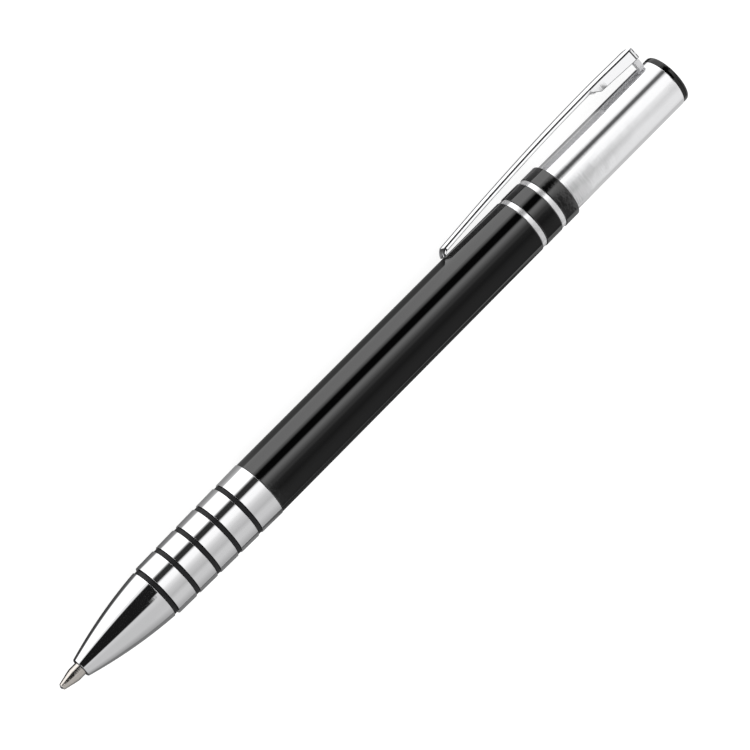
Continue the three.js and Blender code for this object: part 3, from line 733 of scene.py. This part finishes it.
def clip():
    """Sheet-metal clip: a flat arm, a foot turned in at the toe, and a deep hollow head with a leg."""
    form = ClipForm()
    bm = bmesh.new()
    loops = []
    for forward in clip_stations(form):
        half = form.section(forward)
        outline = half + [(height, -across) for height, across in reversed(half)]
        station = SLEEVE_TOP - forward
        loops.append([bm.verts.new(clip_point(station, height, across)) for height, across in outline])
    for a, b in zip(loops, loops[1:]):
        for k in range(len(a)):
            n = (k + 1) % len(a)
            face = bm.faces.new((a[k], a[n], b[n], b[k]))
            # Edge strips take the dark chrome copy, painted shade; the underside takes the pale copy, painted
            # light; the rest is chrome
            face.material_index = 1 if k in CLIP_SHADED_EDGE_STRIPS else 2 if k == CLIP_UNDERSIDE else 0
    bm.faces.new(loops[0])
    bm.faces.new(loops[-1])
    piece = make_object("clip", bm, CHROME, smooth_angle=20)
    piece.data.materials.append(PAINTED_SHADE_CHROME)
    piece.data.materials.append(PAINTED_LIGHT_CHROME)
    crown = form.top(form.end + CLIP_REAR_CORNER)
    inner = CLIP_HALF_HEAD - CLIP_SHEET
    rear = SLEEVE_TOP - form.end
    # The inside of the head, the leg and the bridge take the pale chrome copy: painted light
    hollow = block(
        "hollow", (SLEEVE_TOP - CLIP_STEP_START + WEB_BEHIND_STEP, rear - CLIP_SHEET),
        (crown - 2 * CLIP_HEAD_DEPTH, crown - CLIP_SHEET), (-inner, inner), PAINTED_LIGHT_CHROME)
    combine(piece, hollow, "DIFFERENCE")
    leg_rear = rear - LEG_INSET
    leg_top = crown - CLIP_HEAD_DEPTH + 2 * CLIP_SHEET
    leg = block(
        "leg", (leg_rear - LEG_LENGTH, leg_rear), (LEG_FOOT, leg_top + OVERLAP),
        (-LEG_WIDTH / 2, LEG_WIDTH / 2), PAINTED_LIGHT_CHROME)
    bridge = block(
        "bridge", (leg_rear - LEG_LENGTH + 0.01, leg_rear - 0.01),
        (leg_top - CLIP_SHEET / 2, leg_top + CLIP_SHEET / 2),
        (-inner - OVERLAP, inner + OVERLAP), PAINTED_LIGHT_CHROME)
    combine(piece, combine(leg, bridge, "UNION"), "UNION")
    for polygon in piece.data.polygons:
        polygon.use_smooth = True
    piece.data.set_sharp_from_angle(angle=math.radians(20))
    return place(piece, "clip", "chrome", "pocket_clip")


def return_spring():
    """Steel wire, closer turns at both ends."""
    low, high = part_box("return_spring")
    radius = WIRE_RADIUS * MM
    steps = 24
    coil = (high.z - low.z) / 2 - radius
    start, end = low.x + radius, high.x - radius
    points = []
    for k in range(SPRING_TURNS * steps + 1):
        t = k / (SPRING_TURNS * steps)
        angle = t * SPRING_TURNS * 2 * math.pi
        eased = t - SPRING_EASE * math.sin(2 * math.pi * t) / (2 * math.pi)
        out = CLIP_DIR * math.cos(angle) + ACROSS * math.sin(angle)
        points.append(AXIS + Vector((start + (end - start) * eased, 0, 0)) + out * coil)
    piece = wire("spring", points, radius, STEEL)
    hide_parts("return_spring")
    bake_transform(piece)
    return piece


sleeve()
end_cap()
clip()
return_spring()

for node, obj in frame["nodes"].items():
    if obj.hide_render:
        continue
    slot = next(s["material_slot"] for s in frame["record"]["subparts"] if s["node"] == node)
    obj.data.materials.clear()
    obj.data.materials.append(SLOT_MATERIALS[slot])
    for polygon in obj.data.polygons:
        polygon.use_smooth = True
    obj.data.set_sharp_from_angle(angle=math.radians(30))


# Camera, placed where the curves of the rings and the taper of the barrel put it

LENS_PIXELS = 3600
FRAME_PIXELS = 750
SENSOR = 36
CAMERA_DISTANCE = 0.554
AIM_STATION = 68.16
AIM_BELOW_AXIS = 0.28
AXIS_ANGLE = math.radians(45.15)
TO_CAMERA = Vector((-0.229, 0.540, 0.810)).normalized()

along = (Vector((1, 0, 0)) - TO_CAMERA * TO_CAMERA.x).normalized()
aside = TO_CAMERA.cross(along)
right = along * math.cos(AXIS_ANGLE) - aside * math.sin(AXIS_ANGLE)
upward = along * math.sin(AXIS_ANGLE) + aside * math.cos(AXIS_ANGLE)
aim = axis_point(AIM_STATION) - aside * (AIM_BELOW_AXIS * MM)

camera = bpy.data.objects.new("camera", bpy.data.cameras.new("camera"))
camera.data.sensor_width = SENSOR
camera.data.lens = LENS_PIXELS / FRAME_PIXELS * SENSOR
camera.data.clip_start = 0.01
camera.matrix_world = Matrix.Translation(aim + TO_CAMERA * CAMERA_DISTANCE) @ Matrix(
    (right, upward, TO_CAMERA)
).transposed().to_4x4()
bpy.context.scene.collection.objects.link(camera)
bpy.context.scene.camera = camera


# Floor and light. The pen lies on a pale table. Matt surfaces get a plain, even light. What shines
# sees the studio: the table with a painted shade close to the pen, where its shadow falls, and a painted
# glow beyond it on the clip's side, brighter than white, grey sheets behind, a white sheet past the camera, and a
# dark gap between that and the table's far edge.

WHITE = 1.0
EVEN_LIGHT = 0.95
STUDIO_PEAK = 1.8
FLOOR_SIZE = 6.0
FLOOR_MATT = 0.3
FLOOR_GLOW = 0.87

# The table as what shines sees it, by the reach on the clip's side in millimetres: the painted shade
# close to the pen, and the painted glow beyond it
TABLE_SPAN = (-4, 46)
TABLE_NEAR_SHADE = [(-4, 0.08), (-1, 0.3), (4.3, 0.3), (7, 0.5), (8, 0)]
TABLE_FAR_GLOW = [(-4, 0), (7, 0), (8.2, 1.4), (11, 1.4), (15, 1.48), (23, 1.57), (42, 1.64)]
NEAR_EDGE = (7, 8, 1, 0)

# How that changes along the pen, each as (from x, to x, first, last): shifts of the reach, which narrow
# the painted shade at the nose and below the clip; deepening of the painted shade along the pen, into a
# painted shadow of the clip below it; the paler painted shade below the clip's head; and the table on the pen's
# other side
REACH_SHIFTS = [(21.4, 21.9, 0, 4.8), (22, 46, 0, -1.7), (-62, -20, 3.4, 0)]
NEAR_SHADE_DEEPENING = [(-56, -24, 0.15, 1), (-26, -18, 1, 0.65), (20.5, 21.9, 1, 0.12)]
HEAD_PALE = [(36, 40, 0, 0.36), (55, 58, 1, 0.25)]
OTHER_SIDE = [(46, 50, 0.1, 0.6), (-26, -20, 0.1, 0)]
OTHER_SIDE_EDGE = (-5, -2, 1, 0)


class Nodes:
    """Short helpers for the node tree of the floor or the world."""

    def __init__(self, tree):
        self.tree = tree
        tree.nodes.clear()

    def make(self, kind, inputs=None, **settings):
        return add_node(self.tree, kind, inputs, settings)

    def math(self, operation, first, second=0.0):
        return self.make("ShaderNodeMath", {0: first, 1: second}, operation=operation).outputs[0]

    def dot(self, vector, direction):
        inputs = {0: vector, 1: direction}
        return self.make("ShaderNodeVectorMath", inputs, operation="DOT_PRODUCT").outputs["Value"]

    def between(self, value, low, high, first=0.0, last=1.0):
        """Eases from first to last as the value goes from low to high."""
        inputs = {"Value": value, "From Min": low, "From Max": high, "To Min": first, "To Max": last}
        node = self.make("ShaderNodeMapRange", inputs, interpolation_type="SMOOTHSTEP")
        return node.outputs["Result"]

    def brightness(self, value, low, high, stops):
        """Brightness by value, from (value, brightness) stops between low and high."""
        share = self.math("DIVIDE", self.math("SUBTRACT", value, low), high - low)
        node = self.make("ShaderNodeValToRGB", {"Fac": share})
        elements = node.color_ramp.elements
        elements.remove(elements[-1])
        for k, (at, level) in enumerate(stops):
            place_at = (at - low) / (high - low)
            element = elements[0] if k == 0 else elements.new(place_at)
            element.position = place_at
            element.color = (level / STUDIO_PEAK,) * 3 + (1,)
        return node.outputs["Color"]

    def blend(self, factor, first, second):
        inputs = {"Factor": factor}
        node = self.make("ShaderNodeMix", inputs, data_type="RGBA")
        self.tree.links.new(first, node.inputs["A"])
        self.tree.links.new(second, node.inputs["B"])
        return node.outputs["Result"]

    def choose(self, factor, first, second):
        return self.make("ShaderNodeMixShader", {0: factor, 1: first, 2: second}).outputs[0]


def floor():
    """Pale table, white to the camera, that shows what shines a painted shade close to the pen and a painted glow
    beyond it.
    """
    bm = bmesh.new()
    signs = ((-1, -1), (1, -1), (1, 1), (-1, 1))
    bm.faces.new([bm.verts.new((x * FLOOR_SIZE, y * FLOOR_SIZE, 0)) for x, y in signs])
    material = bpy.data.materials.new("floor")
    material.use_nodes = True
    nodes = Nodes(material.node_tree)
    matt = nodes.make("ShaderNodeBsdfDiffuse", {"Color": (FLOOR_MATT,) * 3 + (1,)}).outputs[0]
    lit = nodes.make("ShaderNodeEmission", {"Strength": FLOOR_GLOW}).outputs[0]
    seen = nodes.make("ShaderNodeAddShader", {0: matt, 1: lit}).outputs[0]

    coords = nodes.make("ShaderNodeTexCoord").outputs["Object"]
    x_mm = nodes.math("MULTIPLY", nodes.dot(coords, (1, 0, 0)), 1 / MM)
    y_mm = nodes.math("MULTIPLY", nodes.dot(coords, (0, 1, 0)), 1 / MM)
    reach = y_mm
    # What shines sees painted shade close to the pen, deepened below the clip into a painted shadow of it, and a
    # painted glow beyond, brighter than white
    for shift in REACH_SHIFTS:
        reach = nodes.math("ADD", reach, nodes.between(x_mm, *shift))
    near = nodes.brightness(reach, *TABLE_SPAN, TABLE_NEAR_SHADE)
    for dimming in NEAR_SHADE_DEEPENING:
        near = nodes.math("MULTIPLY", near, nodes.between(x_mm, *dimming))
    pale = nodes.between(reach, *NEAR_EDGE)
    for change in HEAD_PALE:
        pale = nodes.math("MULTIPLY", pale, nodes.between(x_mm, *change))
    near = nodes.math("MAXIMUM", nodes.math("MULTIPLY", near, STUDIO_PEAK), pale)
    far = nodes.math("MULTIPLY", nodes.brightness(reach, *TABLE_SPAN, TABLE_FAR_GLOW), STUDIO_PEAK)
    first, second = (nodes.between(x_mm, *change) for change in OTHER_SIDE)
    other = nodes.math(
        "MULTIPLY", nodes.between(y_mm, *OTHER_SIDE_EDGE), nodes.math("ADD", first, second))
    shown = nodes.math("MAXIMUM", nodes.math("ADD", near, far), other)
    mirrored = nodes.make("ShaderNodeEmission", {"Strength": shown}).outputs[0]

    paths = nodes.make("ShaderNodeLightPath")
    surface = nodes.choose(paths.outputs["Is Glossy Ray"], seen, mirrored)
    nodes.make("ShaderNodeOutputMaterial", {"Surface": surface})
    make_object("table", bm, material)


# What shines sees, by the turn round the pen from the camera's side in degrees: the clip's side is
# positive. Each row holds for reflections that lean along the pen by the amount where it starts.
FRONT_SIDE = [(-180, 0.05), (180, 0.05)]
NOSE_SIDE = [
    (-180, 0.2), (-131, 0.25), (-105, 0.45), (-84, 0.6), (-43, 0.6), (-20, 0.7), (-15, 0.01),
    (43, 0.01), (47, 0.95), (180, 0.95),
]
CONE_SIDE = [
    (-180, 0.3), (-116, 0.4), (-84, 0.62), (-43, 0.6), (-14, 0.75), (-6, 0.8), (-3, 0.01), (43, 0.01),
    (47, 0.95), (180, 1.0),
]
GRIP_SIDE = [
    (-180, 0.4), (-116, 0.45), (-84, 0.65), (-66, 0.66), (-50, 0.53), (-28, 0.66), (-14, 0.85),
    (-4, 1.1), (14, 1.15), (18, 0.9), (23, 0.03), (40, 0.03), (43, 0.2), (50, 1.3), (180, 1.3),
]
BARREL_SIDE = [
    (-180, 0.08), (-124, 0.08), (-104, 0.16), (-84, 0.185), (-66, 0.17), (-48, 0.105), (-28, 0.17),
    (-21, 0.36), (-14, 0.4), (-5, 0.85), (0, 1.12), (7, 1.5), (12.8, 1.4), (15.8, 0.85), (18.8, 0.14),
    (21.3, 0.01), (41, 0.01), (44, 0.16), (47, 0.6), (52, 1.08), (60, 1.52), (180, 1.68),
]
TAIL_SIDE = [
    (-180, 0.72), (-124, 0.75), (-105, 0.89), (-75, 0.9), (-57, 0.8), (-48, 0.77), (-31, 0.9),
    (-23, 0.97), (-15, 1.15), (15, 1.15), (22, 0.7), (27, 0.13), (37, 0.13), (45, 1.0), (50, 1.15),
    (180, 1.15),
]
GAP_SIDE = [
    (-180, 0.6), (-124, 0.65), (-75, 0.85), (-36, 0.9), (-31, 0.08), (-7, 0.08), (-2, 1.0), (14, 1.15),
    (20, 0.5), (24, 0.06), (36, 0.06), (44, 1.0), (180, 1.1),
]
FAR_SIDE = [(-180, 1.0), (180, 1.0)]
SIDES = [
    (-0.88, -0.8, GRIP_SIDE), (-0.52, -0.44, NOSE_SIDE), (-0.06, -0.01, CONE_SIDE),
    (0.0, 0.08, GRIP_SIDE), (0.1835, 0.1865, BARREL_SIDE), (0.2968, 0.3008, TAIL_SIDE),
    (0.40, 0.46, GAP_SIDE), (0.78, 0.85, FAR_SIDE),
]


def studio():
    world = bpy.data.worlds.new("studio")
    world.use_nodes = True
    bpy.context.scene.world = world
    nodes = Nodes(world.node_tree)
    facing = Vector((0, TO_CAMERA.y, TO_CAMERA.z)).normalized()
    sideways = facing.cross(Vector((1, 0, 0)))
    direction = nodes.make("ShaderNodeTexCoord").outputs["Generated"]
    turn = nodes.math("ARCTAN2", nodes.dot(direction, sideways), nodes.dot(direction, facing))
    degrees = nodes.math("DEGREES", turn)
    lean = nodes.dot(direction, (1, 0, 0))
    light = nodes.brightness(degrees, -180, 180, FRONT_SIDE)
    for low, high, stops in SIDES:
        side = nodes.brightness(degrees, -180, 180, stops)
        light = nodes.blend(nodes.between(lean, low, high), light, side)

    def background(color, strength):
        inputs = {"Color": color, "Strength": strength}
        return nodes.make("ShaderNodeBackground", inputs).outputs[0]

    mirrored = background(light, STUDIO_PEAK)
    even = background((WHITE,) * 4, EVEN_LIGHT)
    white = background((WHITE,) * 4, WHITE)
    paths = nodes.make("ShaderNodeLightPath")
    surface = nodes.choose(paths.outputs["Is Glossy Ray"], even, mirrored)
    surface = nodes.choose(paths.outputs["Is Camera Ray"], surface, white)
    nodes.make("ShaderNodeOutputWorld", {"Surface": surface})


floor()
studio()
bpy.context.scene.view_settings.view_transform = "Standard"
